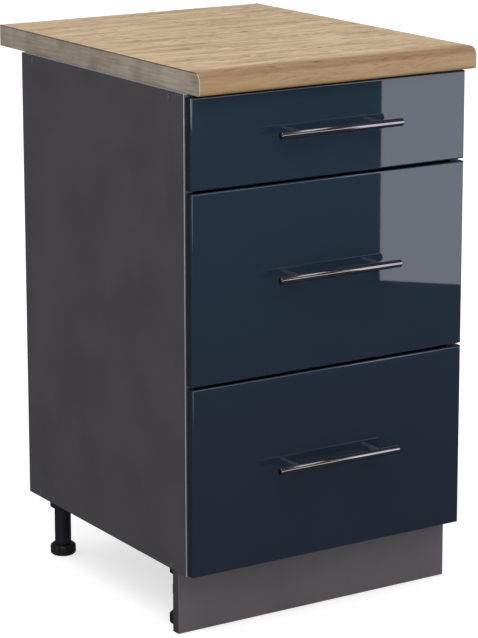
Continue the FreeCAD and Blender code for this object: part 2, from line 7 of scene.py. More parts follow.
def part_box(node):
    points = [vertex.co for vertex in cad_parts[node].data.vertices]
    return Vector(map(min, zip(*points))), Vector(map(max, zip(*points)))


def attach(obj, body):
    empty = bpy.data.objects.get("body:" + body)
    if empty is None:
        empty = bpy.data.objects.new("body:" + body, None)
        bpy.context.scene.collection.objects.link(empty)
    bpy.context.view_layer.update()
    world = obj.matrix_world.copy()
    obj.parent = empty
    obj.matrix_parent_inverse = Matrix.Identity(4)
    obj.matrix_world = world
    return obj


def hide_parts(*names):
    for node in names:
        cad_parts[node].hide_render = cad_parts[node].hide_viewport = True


# Looks of a kitchen base unit with three drawers. X runs right, Y to the back, Z up; metres.

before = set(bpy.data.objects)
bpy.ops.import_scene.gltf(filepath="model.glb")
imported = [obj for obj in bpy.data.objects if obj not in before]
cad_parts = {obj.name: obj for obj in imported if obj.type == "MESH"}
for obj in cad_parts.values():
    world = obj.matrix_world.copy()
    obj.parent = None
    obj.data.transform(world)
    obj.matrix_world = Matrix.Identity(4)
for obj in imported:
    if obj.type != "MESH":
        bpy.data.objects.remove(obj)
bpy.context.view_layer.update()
print("frame loaded,", len(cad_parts), "nodes")

scene = bpy.context.scene
mm = 0.001
drawers = ("1", "2", "3")
sides = ("left", "right")
sharpEdge = math.radians(35)
boardFace = 0.002                   # square metres; larger faces of a board stay flat
hair = 1e-6                         # metres; points closer than this are one


def linear(hexColour):
    values = [int(hexColour[i:i + 2], 16) / 255 for i in (1, 3, 5)]
    return [v / 12.92 if v <= 0.04045 else ((v + 0.055) / 1.055) ** 2.4 for v in values] + [1]


# links a node's inputs to other nodes or sockets, or sets them
def feed(node, inputs):
    for key, value in inputs.items():
        if isinstance(value, bpy.types.Node):
            value = value.outputs[0]
        if isinstance(value, bpy.types.NodeSocket):
            node.id_data.links.new(value, node.inputs[key])
        else:
            node.inputs[key].default_value = value


# a kind without the word Node is a shader node; stops are (place, colour) pairs of a colour ramp, where a
# plain number is a grey
def addNode(tree, kind, inputs=None, stops=None, **settings):
    node = tree.nodes.new(kind if "Node" in kind else "ShaderNode" + kind)
    for name, value in settings.items():
        setattr(node, name, value)
    feed(node, inputs or {})
    if stops:
        elements = node.color_ramp.elements
        while len(elements) < len(stops):
            elements.new(0.5)
        for element, (position, colour) in zip(elements, stops):
            element.position = position
            element.color = linear(colour) if isinstance(colour, str) else (colour, colour, colour, 1)
    return node


def emptyMaterial(name):
    material = bpy.data.materials.new(name)
    material.use_nodes = True
    material.node_tree.nodes.clear()
    return material, material.node_tree


def newMaterial(name):
    material, tree = emptyMaterial(name)
    shader = addNode(tree, "BsdfPrincipled")
    addNode(tree, "OutputMaterial", {"Surface": shader})
    return material, tree, shader, addNode(tree, "TexCoord").outputs


def makeObject(name, bm, materials, flatAbove=1.0):
    bmesh.ops.remove_doubles(bm, verts=bm.verts, dist=hair)
    bmesh.ops.recalc_face_normals(bm, faces=bm.faces)
    mesh = bpy.data.meshes.new(name)
    bm.to_mesh(mesh)
    bm.free()
    mesh.set_sharp_from_angle(angle=sharpEdge)
    mesh.polygons.foreach_set("use_smooth", [polygon.area < flatAbove for polygon in mesh.polygons])
    for material in materials:
        mesh.materials.append(material)
    item = bpy.data.objects.new(name, mesh)
    scene.collection.objects.link(item)
    return item


def settle(item, body, slot, *nodes):
    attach(item, body)
    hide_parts(*nodes)


# a board with rounded arrises; pick says which edges, from the middle of each
def addBoard(bm, low, high, radius, segments=2, pick=None):
    corners = bmesh.ops.create_cube(bm, size=1)["verts"]
    for vert in corners:
        vert.co = [low[i] + (vert.co[i] + 0.5) * (high[i] - low[i]) for i in range(3)]
    edges = {edge for vert in corners for edge in vert.link_edges}
    if pick:
        edges = {edge for edge in edges if pick((edge.verts[0].co + edge.verts[1].co) / 2)}
    bmesh.ops.bevel(bm, geom=list(edges), offset=radius, segments=segments, affect="EDGES", profile=0.5)


# turns (distance along the axis, radius) pairs about the axis
def addTurned(bm, profile, origin, axis, segments):
    axis, origin = Vector(axis), Vector(origin)
    across = axis.orthogonal().normalized()
    upward = axis.cross(across)
    rings = []
    for along, radius in profile:
        middle = origin + axis * along
        steps = segments if radius else 1
        angles = [2 * math.pi * i / segments for i in range(steps)]
        rings.append([bm.verts.new(middle + (across * math.cos(a) + upward * math.sin(a)) * radius)
                      for a in angles])
    for first, second in zip(rings, rings[1:]):
        for i in range(segments):
            j = (i + 1) % segments
            corners = [first[i % len(first)], first[j % len(first)],
                       second[j % len(second)], second[i % len(second)]]
            corners = list(dict.fromkeys(corners))
            if len(corners) > 2:
                bm.faces.new(corners)


# a turned profile from the points of one end, which its other end repeats
def bothEnds(end, length):
    return end + [(length - along, radius) for along, radius in reversed(end)]


# a closed outline of (x, z) points drawn along Y, with its long edges eased
def addFolded(bm, outline, start, end, ease):
    rings = [[bm.verts.new((x, y, z)) for x, z in outline] for y in (start, end)]
    count = len(outline)
    for i in range(count):
        j = (i + 1) % count
        bm.faces.new((rings[0][i], rings[0][j], rings[1][j], rings[1][i]))
    for ring in rings:
        bm.faces.new(ring)
    folds = [bm.edges.get(pair) for pair in zip(*rings)]
    bmesh.ops.bevel(bm, geom=folds, offset=ease, segments=2, affect="EDGES", profile=0.5)


def paint(node, *materials):
    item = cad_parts[node]
    item.data.materials.clear()
    for material in materials:
        item.data.materials.append(material)


# finishes: chip, fibre, grain, line, cloud, speck, peel and wave are sizes in millimetres

multiply = {"data_type": "RGBA", "blend_type": "MULTIPLY"}
chipLook = {"chip": 3.5, "fibre": 2, "dark": "#86674a", "mid": "#ac8c66", "light": "#c8ae88", "shade": 0.76,
            "roughness": 0.85}


def chips(tree, place):
    cells = addNode(tree, "TexVoronoi", {"Vector": place, "Scale": 1000 / chipLook["chip"]})
    fibres = addNode(tree, "TexNoise", {"Vector": place, "Scale": 1000 / chipLook["fibre"], "Detail": 3.0})
    tone = addNode(tree, "ValToRGB", {"Fac": fibres}, stops=[
        (0.3, chipLook["dark"]), (0.5, chipLook["mid"]), (0.7, chipLook["light"])])
    light = addNode(tree, "ValToRGB", {"Fac": cells.outputs["Color"]},
                    stops=[(0.0, chipLook["shade"]), (1.0, 1.0)])
    mixed = addNode(tree, "Mix", {0: 1.0, 6: tone, 7: light}, **multiply)
    return mixed.outputs[2], cells.outputs["Distance"]


# Melamine paper pressed on chipboard with a pearl plate: an even, dull tone with a fine grain that breaks
# the highlights up. A sawn edge shows the bare chips, and other edges may have a tone of their own.
def pressedMelamine(name, look):
    material, tree, shader, places = newMaterial(name)
    place = places["Object"]
    cloud = addNode(tree, "TexNoise", {"Vector": place, "Scale": 1000 / 110, "Detail": 3.0})
    pearl = addNode(tree, "TexNoise", {"Vector": place, "Scale": 1000 / look["grain"], "Detail": 2.0})
    tone = addNode(tree, "ValToRGB", {"Fac": cloud}, stops=list(zip((0.3, 0.5, 0.7), look["tones"])))
    speck = addNode(tree, "ValToRGB", {"Fac": pearl}, stops=[(0.35, 0.9), (0.65, 1.0)])
    colour = addNode(tree, "Mix", {0: 1.0, 6: tone, 7: speck}, **multiply).outputs[2]
    facing = addNode(tree, "SeparateXYZ", {"Vector": places["Normal"]})
    bare = chips(tree, place)[0]
    for direction, kind in look.get("edges", {}).items():
        # direction is such as Y+ for the edge that faces the back
        sign = 1.0 if direction[1] == "+" else -1.0
        turned = addNode(tree, "Math", {0: facing.outputs[direction[0]], 1: sign}, operation="MULTIPLY")
        mask = addNode(tree, "Math", {0: turned, 1: 0.9}, operation="GREATER_THAN")
        edge = bare if kind == "sawn" else linear(kind)
        colour = addNode(tree, "Mix", {0: mask, 6: colour, 7: edge}, data_type="RGBA").outputs[2]
    gloss = addNode(tree, "MapRange", {
        "Value": pearl, "From Min": 0.3, "From Max": 0.7,
        "To Min": look["roughness"] - 0.05, "To Max": look["roughness"] + 0.08})
    relief = addNode(tree, "Bump", {"Height": pearl, "Strength": 0.25, "Distance": 0.2 * mm})
    feed(shader, {"Base Color": colour, "Roughness": gloss, "Normal": relief, "IOR": 1.5})
    return material


# Oak print under post-formed laminate: pale and brown grain lines along the board, short dark pores in
# rows and a few small knots that the lines swerve round. A warmer, darker tone round the nose is painted
# shade.
def oakLaminate(name):
    look = {
        "deep": "#b08d68", "brown": "#c8a883", "mid": "#dabe9a", "pale": "#e8d2b1", "pore": "#70523a",
        "knot": "#432c1e", "roughness": 0.42, "poreShare": 0.7, "bend": 0.05,
        # mm along and across, detail; real pores are finer, and wide enough here to show at a low angle
        "layers": {"broad": (240, 17, 3.0), "line": (80, 4.5, 4.0), "fibre": (30, 2.5, 2.0),
                   "pores": (18, 2.8, 0.0)},
        # the painted shade round the nose: wrap distance from the underside in tenths of a metre, colour,
        # share
        "nose": ((0.42, "#9c7848", 0.76), (0.52, "#7c5b38", 0.82), (0.61, "#7c5b38", 0.74),
                 (0.70, "#96744c", 0.5), (0.98, "#b08e64", 0.0)),
        # along, wrap distance, size, darkness
        "knots": ((-0.037, 0.060, 0.007, 0.95), (-0.004, 0.402, 0.004, 0.75),
                  (-0.083, 0.308, 0.003, 0.6), (0.153, 0.385, 0.003, 0.55),
                  (0.133, 0.235, 0.003, 0.5), (0.205, 0.160, 0.004, 0.5)),
        "swerve": 0.8, "swerveReach": 4.5,                          # in sizes of the knot
    }
    material, tree, shader, places = newMaterial(name)
    wrap = addNode(tree, "UVMap", uv_map="wrap")
    axes = addNode(tree, "SeparateXYZ", {"Vector": wrap})
    along, across = axes.outputs["X"], axes.outputs["Y"]
    knotTone = 0.0
    for knotAlong, knotAcross, size, darkness in look["knots"]:
        centre = addNode(tree, "Mapping", {"Vector": wrap, "Location": (-knotAlong, -knotAcross, 0)})
        oval = addNode(tree, "Mapping", {"Vector": centre, "Scale": (0.4, 1, 0)})
        reach = addNode(tree, "VectorMath", {0: oval}, operation="LENGTH").outputs["Value"]
        hump = addNode(tree, "MapRange", {
            "Value": reach, "From Min": 0.0, "From Max": look["swerveReach"] * size,
            "To Min": 1.0, "To Max": 0.0}, interpolation_type="SMOOTHSTEP")
        offset = addNode(tree, "SeparateXYZ", {"Vector": centre})
        push = addNode(tree, "Math", {0: hump, 1: offset.outputs["Y"]}, operation="MULTIPLY")
        across = addNode(tree, "Math", {0: push, 1: -look["swerve"], 2: across},
                         operation="MULTIPLY_ADD").outputs[0]
        core = addNode(tree, "MapRange", {
            "Value": reach, "From Min": 0.1 * size, "From Max": 0.62 * size,
            "To Min": darkness, "To Max": 0.0})
        knotTone = addNode(tree, "Math", {0: core, 1: knotTone}, operation="MAXIMUM")
    straight = addNode(tree, "CombineXYZ", {"X": along, "Y": across})
    drift = addNode(tree, "Mapping", {"Vector": straight, "Scale": (4, 11, 1)})
    drift = addNode(tree, "TexNoise", {"Vector": drift, "Scale": 1.0, "Detail": 3.0})
    bent = addNode(tree, "Math", {0: drift, 1: look["bend"], 2: across}, operation="MULTIPLY_ADD")
    wavy = addNode(tree, "CombineXYZ", {"X": along, "Y": bent})
    layers = {}
    for layer, (length, width, detail) in look["layers"].items():
        drawn = addNode(tree, "Mapping", {"Vector": wavy, "Scale": (1000 / length, 1000 / width, 1)})
        layers[layer] = addNode(tree, "TexNoise", {
            "Vector": drawn, "Scale": 1.0, "Detail": detail, "Roughness": 0.6})
    grain = addNode(tree, "Mix", {0: 0.5, 2: layers["broad"], 3: layers["line"]})
    tone = addNode(tree, "ValToRGB", {"Fac": grain}, stops=[
        (0.34, look["deep"]), (0.43, look["brown"]), (0.52, look["mid"]), (0.64, look["pale"])])
    fibre = addNode(tree, "ValToRGB", {"Fac": layers["fibre"]}, stops=[(0.3, 0.74), (0.62, 1.0)])
    tone = addNode(tree, "Mix", {0: 1.0, 6: tone, 7: fibre}, **multiply).outputs[2]
    rows = addNode(tree, "Mapping", {"Vector": wavy, "Scale": (7, 38, 1), "Location": (3, 5, 0)})
    rows = addNode(tree, "TexNoise", {"Vector": rows, "Scale": 1.0, "Detail": 1.0})
    rows = addNode(tree, "MapRange", {"Value": rows, "From Min": 0.46, "From Max": 0.58})
    pore = addNode(tree, "MapRange", {
        "Value": layers["pores"], "From Min": 0.57, "From Max": 0.68, "To Max": look["poreShare"]})
    pore = addNode(tree, "Math", {0: pore, 1: rows}, operation="MULTIPLY")
    around = addNode(tree, "Math", {0: axes.outputs["Y"], 1: 10.0}, operation="MULTIPLY")
    # painted shade: the nose is darker where its arc turns away from the light
    positions, tints, shares = zip(*look["nose"])
    noseShadeTone = addNode(tree, "ValToRGB", {"Fac": around}, stops=list(zip(positions, tints)))
    noseShadeShare = addNode(tree, "ValToRGB", {"Fac": around}, stops=list(zip(positions, shares)))
    overlays = ((pore, linear(look["pore"])), (knotTone, linear(look["knot"])), (noseShadeShare, noseShadeTone))
    for share, colour in overlays:
        tone = addNode(tree, "Mix", {0: share, 6: tone, 7: colour}, data_type="RGBA").outputs[2]
    relief = addNode(tree, "Bump", {"Height": layers["fibre"], "Strength": 0.2, "Distance": 0.1 * mm})
    feed(shader, {"Base Color": tone, "Normal": relief, "Roughness": look["roughness"], "IOR": 1.48})
    return material


# Melamine strip ironed on the sawn end: the print seen greyer in level lines, a brown glue line along its
# upper arris and the pale edge of the strip at the front.
def ironedEndStrip(name):
    look = {"dark": "#7f7367", "mid": "#93877a", "light": "#a1968a", "glue": "#4f4034", "edge": "#c6bfa6",
            "lineScale": (1, 14, 300), "cloudScale": 22.0, "roughness": 0.5,
            # how far under the top the glue line begins and is full
            "glueDepths": (2.3 * mm, 0.5 * mm)}
    material, tree, shader, places = newMaterial(name)
    place = places["Object"]
    drawn = addNode(tree, "Mapping", {"Vector": place, "Scale": look["lineScale"]})
    lines = addNode(tree, "TexNoise", {"Vector": drawn, "Scale": 1.0, "Detail": 4.0, "Roughness": 0.6})
    cloudy = addNode(tree, "TexNoise", {"Vector": place, "Scale": look["cloudScale"], "Detail": 4.0})
    both = addNode(tree, "Mix", {0: 0.5, 2: lines, 3: cloudy})
    tone = addNode(tree, "ValToRGB", {"Fac": both}, stops=[
        (0.36, look["dark"]), (0.5, look["mid"]), (0.62, look["light"])])
    level = addNode(tree, "SeparateXYZ", {"Vector": place}).outputs["Z"]
    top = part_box("worktop")[1].z
    start, full = (top - depth for depth in look["glueDepths"])
    glue = addNode(tree, "MapRange", {"Value": level, "From Min": start, "From Max": full})
    facing = addNode(tree, "SeparateXYZ", {"Vector": places["Normal"]}).outputs["Y"]
    front = addNode(tree, "MapRange", {"Value": facing, "From Min": -0.35, "From Max": -0.6})
    for share, colour in ((glue, look["glue"]), (front, look["edge"])):
        tone = addNode(tree, "Mix", {0: share, 6: tone, 7: linear(colour)}, data_type="RGBA").outputs[2]
    relief = addNode(tree, "Bump", {"Height": lines, "Strength": 0.2, "Distance": 0.1 * mm})
    feed(shader, {"Base Color": tone, "Normal": relief, "Roughness": look["roughness"]})
    return material


# Chipboard as the saw leaves it: speckled wood colours, rough, no shine.
def sawnChipboard(name):
    material, tree, shader, places = newMaterial(name)
    tone, height = chips(tree, places["Object"])
    relief = addNode(tree, "Bump", {"Height": height, "Strength": 0.5, "Distance": 0.5 * mm})
    feed(shader, {"Base Color": tone, "Normal": relief, "Roughness": chipLook["roughness"]})
    return material


# Foil drawn over the fronts and polished: deep navy under a clear mirror, with a faint waviness that only
# long reflections show. Its tone grows lighter and a little greener higher up, which is painted light.
def glossFoil(name):
    look = {"lower": "#1f2835", "upper": "#223343", "lowerAt": 0.15, "upperAt": 0.8, "wave": 9,
            "roughness": 0.02}
    material, tree, shader, places = newMaterial(name)
    place = places["Object"]
    level = addNode(tree, "SeparateXYZ", {"Vector": place}).outputs["Z"]
    # painted light: the foil's tone grows lighter higher up
    level = addNode(tree, "MapRange", {
        "Value": level, "From Min": look["lowerAt"], "From Max": look["upperAt"]})
    depth = addNode(tree, "Mix", {0: level, 6: linear(look["lower"]), 7: linear(look["upper"])},
                    data_type="RGBA").outputs[2]
    cloud = addNode(tree, "TexNoise", {"Vector": place, "Scale": 12.0, "Detail": 2.0})
    cloud = addNode(tree, "ValToRGB", {"Fac": cloud}, stops=[(0.3, 0.94), (0.7, 1.0)])
    tone = addNode(tree, "Mix", {0: 1.0, 6: depth, 7: cloud}, **multiply).outputs[2]
    peel = addNode(tree, "TexNoise", {"Vector": place, "Scale": 1000 / look["wave"], "Detail": 1.0})
    relief = addNode(tree, "Bump", {"Height": peel, "Strength": 0.004, "Distance": 0.2 * mm})
    feed(shader, {"Base Color": tone, "Normal": relief, "Roughness": look["roughness"], "IOR": 1.58})
    return material


# Stainless steel brushed along its length: fine lines that streak the reflections and dull the colour.
def brushedStainless(name, look, scale):
    material, tree, shader, places = newMaterial(name)
    drawn = addNode(tree, "Mapping", {"Vector": places["Object"], "Scale": scale})
    lines = addNode(tree, "TexNoise", {"Vector": drawn, "Scale": 1000 / look["line"], "Detail": 2.0})
    tone = addNode(tree, "ValToRGB", {"Fac": lines}, stops=[(0.3, look["dark"]), (0.7, look["light"])])
    gloss = addNode(tree, "MapRange", {
        "Value": lines, "From Min": 0.3, "From Max": 0.7,
        "To Min": look["roughness"] - 0.03, "To Max": look["roughness"] + 0.04})
    relief = addNode(tree, "Bump", {"Height": lines, "Strength": 0.12, "Distance": 0.1 * mm})
    feed(shader, {"Base Color": tone, "Roughness": gloss, "Normal": relief, "Metallic": 1.0})
    return material


# Zinc plate, passivated: cloudy grey metal with soft, slightly blurred highlights.
def zincPlate(name):
    look = {"dark": "#b0b4b6", "light": "#dadddf", "cloud": 2, "roughness": 0.34}
    material, tree, shader, places = newMaterial(name)
    cloud = addNode(tree, "TexNoise", {
        "Vector": places["Object"], "Scale": 1000 / look["cloud"], "Detail": 3.0})
    tone = addNode(tree, "ValToRGB", {"Fac": cloud}, stops=[(0.3, look["dark"]), (0.7, look["light"])])
    feed(shader, {"Base Color": tone, "Metallic": 1.0, "Roughness": look["roughness"]})
    return material


# Epoxy powder baked on sheet steel: an even grey with a fine peel that softens every reflection.
def powderCoat(name):
    look = {"dark": "#888b8f", "light": "#96999c", "speck": 0.8, "peel": 1.6, "roughness": 0.4}
    material, tree, shader, places = newMaterial(name)
    place = places["Object"]
    speck = addNode(tree, "TexNoise", {"Vector": place, "Scale": 1000 / look["speck"], "Detail": 2.0})
    peel = addNode(tree, "TexNoise", {"Vector": place, "Scale": 1000 / look["peel"]})
    tone = addNode(tree, "ValToRGB", {"Fac": speck}, stops=[(0.35, look["dark"]), (0.65, look["light"])])
    relief = addNode(tree, "Bump", {"Height": peel, "Strength": 0.25, "Distance": 0.2 * mm})
    feed(shader, {"Base Color": tone, "Normal": relief, "Roughness": look["roughness"]})
    return material


# Injection-moulded plastic: one colour right through, with the spark texture of its mould.
def mouldedPlastic(name, look):
    material, tree, shader, places = newMaterial(name)
    place = places["Object"]
    cloud = addNode(tree, "TexNoise", {"Vector": place, "Scale": 1000 / 20, "Detail": 2.0})
    spark = addNode(tree, "TexNoise", {"Vector": place, "Scale": 1000 / 0.9, "Detail": 2.0})
    tone = addNode(tree, "ValToRGB", {"Fac": cloud}, stops=[(0.3, look["dark"]), (0.7, look["light"])])
    relief = addNode(tree, "Bump", {"Height": spark, "Strength": look["spark"], "Distance": 0.2 * mm})
    feed(shader, {"Base Color": tone, "Normal": relief, "Roughness": look["roughness"], "IOR": 1.49})
    return material


# Felted paper or board: soft blotches of matted fibres, hardly any shine.
def feltedFibre(name, look):
    material, tree, shader, places = newMaterial(name)
    place = places["Object"]
    fibres = addNode(tree, "TexNoise", {
        "Vector": place, "Scale": 1000 / look["fibre"], "Detail": 4.0, "Roughness": 0.65})
    blotch = addNode(tree, "TexNoise", {"Vector": place, "Scale": 14.0, "Detail": 3.0})
    both = addNode(tree, "Mix", {0: 0.35, 2: fibres, 3: blotch})
    tone = addNode(tree, "ValToRGB", {"Fac": both}, stops=[(0.35, look["dark"]), (0.65, look["light"])])
    relief = addNode(tree, "Bump", {"Height": fibres, "Strength": 0.2, "Distance": 0.2 * mm})
    feed(shader, {"Base Color": tone, "Normal": relief, "Roughness": look["roughness"]})
    return material


# the pale tone on the side panels' top edges is a painted highlight: the light line under the worktop's ends
sideLook = {"tones": ("#434043", "#474448", "#4a474b"), "grain": 1.2, "roughness": 0.5,
            "edges": {"Y+": "sawn", "Z-": "sawn", "Z+": "#8d8a90"}}
boardLook = {"tones": ("#434043", "#474448", "#4a474b"), "grain": 1.2, "roughness": 0.5,
             "edges": {"Y+": "sawn", "X+": "sawn", "X-": "sawn"}}
# the plinth's face tones are a lighter copy of the sides' anthracite: painted light on a plinth that sits in
# shade
plinthLightenedLook = {"tones": ("#5d585d", "#615c61", "#645f64"), "grain": 1.2, "roughness": 0.52,
              "edges": {"X+": "#3d3b3e", "X-": "#3d3b3e", "Z-": "sawn", "Z+": "#3d3b3e"}}
drawerLook = {"tones": ("#989894", "#9e9e9b", "#a3a3a0"), "grain": 1.5, "roughness": 0.5,
              "edges": {"Y+": "sawn"}}
# the band's pale and darker tones are lit and shaded copies of one band: a painted highlight on its sides
# and arrises, and painted shade on its face
bandPaintedLightLook = {"tones": ("#a9a7ae", "#afadb4", "#b4b2b9"), "grain": 2.5, "roughness": 0.22,
            "edges": {"Y-": "#66676e"}}
rearLook = {"tones": ("#3a3f46", "#3f444b", "#434850"), "grain": 1.5, "roughness": 0.5}
# the bar's steel is a darker copy of the posts' steel: painted shade that darkens its reflections
barDarkenedSteelLook = {"dark": "#6c696c", "light": "#8a868a", "line": 0.8, "roughness": 0.08}
postLook = {"dark": "#a3a6ab", "light": "#c4c8cc", "line": 0.8, "roughness": 0.38}
blackLook = {"dark": "#191519", "light": "#211c20", "spark": 0.3, "roughness": 0.4}
# the fronts' edges take a near-black tone instead of the navy foil: painted shade in the gaps between fronts
frontGapShadeLook = {"dark": "#14171c", "light": "#191c22", "spark": 0.05, "roughness": 0.25}
nylonLook = {"dark": "#d6d3ca", "light": "#e2dfd6", "spark": 0.15, "roughness": 0.38}
backLook = {"dark": "#3f3d3f", "light": "#4b484a", "fibre": 4, "roughness": 0.5}
kraftLook = {"dark": "#5f4632", "light": "#7d5f45", "fibre": 3, "roughness": 0.6}

sideMelamine = pressedMelamine("anthraciteMelamine", sideLook)
boardMelamine = pressedMelamine("anthraciteBoardMelamine", boardLook)
plinthLightenedMelamine = pressedMelamine("plinthLightenedMelamine", plinthLightenedLook)
drawerMelamine = pressedMelamine("lightGreyMelamine", drawerLook)
edgeBand = pressedMelamine("extrudedEdgeBand", bandPaintedLightLook)
frontRear = pressedMelamine("frontRearMelamine", rearLook)
oak = oakLaminate("postformedOakLaminate")
oakEnd = ironedEndStrip("ironedOakEndStrip")
chipboard = sawnChipboard("sawnChipboard")
kraft = feltedFibre("kraftBackingPaper", kraftLook)
fibreboard = feltedFibre("lacqueredFibreboard", backLook)
navyFoil = glossFoil("polishedNavyFoil")
frontGapShade = mouldedPlastic("frontEdgePaintedShade", frontGapShadeLook)
barSteel = brushedStainless("brushedStainlessBar", barDarkenedSteelLook, (0.02, 1, 1))
postSteel = brushedStainless("brushedStainlessPost", postLook, (1, 0.02, 1))
zinc = zincPlate("zincPlatedSteel")
coatedSteel = powderCoat("powderCoatedSteel")
blackPlastic = mouldedPlastic("blackPolypropylene", blackLook)
nylon = mouldedPlastic("naturalNylon", nylonLook)
print("finishes made,", len(bpy.data.materials))


# node trees that repeat small shapes

def newTree(name, sockets):
    tree = bpy.data.node_groups.new(name, "GeometryNodeTree")
    tree.interface.new_socket("Geometry", in_out="INPUT", socket_type="NodeSocketGeometry")
    tree.interface.new_socket("Geometry", in_out="OUTPUT", socket_type="NodeSocketGeometry")
    for socket, kind in sockets.items():
        tree.interface.new_socket(socket, in_out="INPUT", socket_type="NodeSocket" + kind)
    return tree, addNode(tree, "NodeGroupInput").outputs


def finishTree(tree, geometry, material):
    real = addNode(tree, "GeometryNodeRealizeInstances", {"Geometry": geometry})
    finished = addNode(tree, "GeometryNodeSetMaterial", {"Geometry": real, "Material": material})
    addNode(tree, "NodeGroupOutput", {"Geometry": finished})
    return tree


# runs a tree on an object and keeps the result as its plain mesh
def grow(item, tree, values):
    modifier = item.modifiers.new(tree.name, "NODES")
    modifier.node_group = tree
    for socket in tree.interface.items_tree:
        if socket.in_out == "INPUT" and socket.name in values:
            modifier[socket.identifier] = values[socket.name]
    graph = bpy.context.evaluated_depsgraph_get()
    mesh = bpy.data.meshes.new_from_object(item.evaluated_get(graph))
    item.modifiers.remove(modifier)
    item.data = mesh
    mesh.name = item.name
    mesh.polygons.foreach_set("use_smooth", [True] * len(mesh.polygons))
    mesh.set_sharp_from_angle(angle=sharpEdge)


crossArm = 0.42                     # width of a cross recess's arms, as a share of the recess's radius


# one screw on every point, its head facing along the point's aim, each turned differently by the driver
def makeScrewTree():
    tree, given = newTree("screws", {
        "Head Radius": "Float", "Head Height": "Float", "Top Share": "Float", "Shank Radius": "Float",
        "Shank Length": "Float", "Recess Radius": "Float", "Recess Depth": "Float", "Cross Recess": "Bool",
        "Seed": "Int", "Material": "Material"})

    def times(socket, factor):
        return addNode(tree, "Math", {0: given[socket], 1: factor}, operation="MULTIPLY")

    head = addNode(tree, "GeometryNodeMeshCone", {
        "Vertices": 32, "Radius Top": times("Head Radius", given["Top Share"]),
        "Radius Bottom": given["Head Radius"], "Depth": given["Head Height"]})
    down = times("Head Height", -1.0)
    lowered = addNode(tree, "CombineXYZ", {"Z": down})
    head = addNode(tree, "GeometryNodeTransform", {"Geometry": head, "Translation": lowered})
    twiceDepth = times("Recess Depth", 2.0)
    wide, thin = times("Recess Radius", 2.0), times("Recess Radius", crossArm)
    hexagon = addNode(tree, "GeometryNodeMeshCylinder", {
        "Vertices": 6, "Radius": given["Recess Radius"], "Depth": twiceDepth})
    cross = addNode(tree, "GeometryNodeMeshBoolean", operation="UNION")
    for x, y in ((wide, thin), (thin, wide)):
        size = addNode(tree, "CombineXYZ", {"X": x, "Y": y, "Z": twiceDepth})
        feed(cross, {"Mesh 2": addNode(tree, "GeometryNodeMeshCube", {"Size": size})})
    recess = addNode(tree, "GeometryNodeSwitch", {
        "Switch": given["Cross Recess"], "False": hexagon, "True": cross}, input_type="GEOMETRY")
    cutHead = addNode(tree, "GeometryNodeMeshBoolean", {"Mesh 1": head, "Mesh 2": recess},
                      operation="DIFFERENCE")
    shank = addNode(tree, "GeometryNodeMeshCylinder", {
        "Vertices": 16, "Radius": given["Shank Radius"], "Depth": given["Shank Length"]})
    half = addNode(tree, "Math", {0: given["Shank Length"], 1: -0.5, 2: down}, operation="MULTIPLY_ADD")
    shank = addNode(tree, "GeometryNodeTransform", {
        "Geometry": shank, "Translation": addNode(tree, "CombineXYZ", {"Z": half})})
    screw = addNode(tree, "GeometryNodeJoinGeometry")
    for part in (shank, cutHead):
        feed(screw, {0: part})
    aim = addNode(tree, "GeometryNodeInputNamedAttribute", {"Name": "aim"}, data_type="FLOAT_VECTOR")
    facing = addNode(tree, "FunctionNodeAlignRotationToVector", {"Vector": aim}, axis="Z")
    twist = addNode(tree, "FunctionNodeRandomValue", {"Seed": given["Seed"]}, data_type="FLOAT")
    twist = addNode(tree, "Math", {0: twist.outputs[1], 1: math.tau}, operation="MULTIPLY")
    twist = addNode(tree, "FunctionNodeAxisAngleToRotation", {"Axis": (0, 0, 1), "Angle": twist})
    facing = addNode(tree, "FunctionNodeRotateRotation", {"Rotation": facing, "Rotate By": twist},
                     rotation_space="LOCAL")
    placed = addNode(tree, "GeometryNodeInstanceOnPoints", {
        "Points": given["Geometry"], "Instance": screw, "Rotation": facing})
    return finishTree(tree, placed, given["Material"])


# grip notches round the rim of a disc
def makeNotchTree():
    tree, given = newTree("notches", {
        "Count": "Int", "Rim Radius": "Float", "Notch Radius": "Float", "Height": "Float", "Centre": "Vector",
        "Material": "Material"})
    rim = addNode(tree, "GeometryNodeMeshCircle", {"Vertices": given["Count"], "Radius": given["Rim Radius"]})
    tool = addNode(tree, "GeometryNodeMeshCylinder", {
        "Vertices": 20, "Radius": given["Notch Radius"], "Depth": given["Height"]})
    ring = addNode(tree, "GeometryNodeInstanceOnPoints", {"Points": rim, "Instance": tool})
    ring = addNode(tree, "GeometryNodeRealizeInstances", {"Geometry": ring})
    ring = addNode(tree, "GeometryNodeTransform", {"Geometry": ring, "Translation": given["Centre"]})
    notched = addNode(tree, "GeometryNodeMeshBoolean", {"Mesh 1": given["Geometry"], "Mesh 2": ring},
                      operation="DIFFERENCE")
    return finishTree(tree, notched, given["Material"])


screwTree = makeScrewTree()
notchTree = makeNotchTree()


# spots are (place of the head's outer face, direction that it faces)
def driveScrews(name, spots, sizes):
    mesh = bpy.data.meshes.new(name)
    mesh.from_pydata([spot for spot, aim in spots], [], [])
    mesh.attributes.new("aim", "FLOAT_VECTOR", "POINT")
    for value, (spot, aim) in zip(mesh.attributes["aim"].data, spots):
        value.vector = aim
    item = bpy.data.objects.new(name, mesh)
    scene.collection.objects.link(item)
    grow(item, screwTree, {**sizes, "Material": zinc})
    return item


# worktop: one post-formed board, sawn at the back, with a strip on each end

worktop = {"nose": 14 * mm, "lower": 5 * mm, "wrapUnder": 25 * mm, "noseSteps": 14, "lowerSteps": 7,
           "strip": 0.8 * mm, "arris": 0.25 * mm, "flatAbove": 0.01}


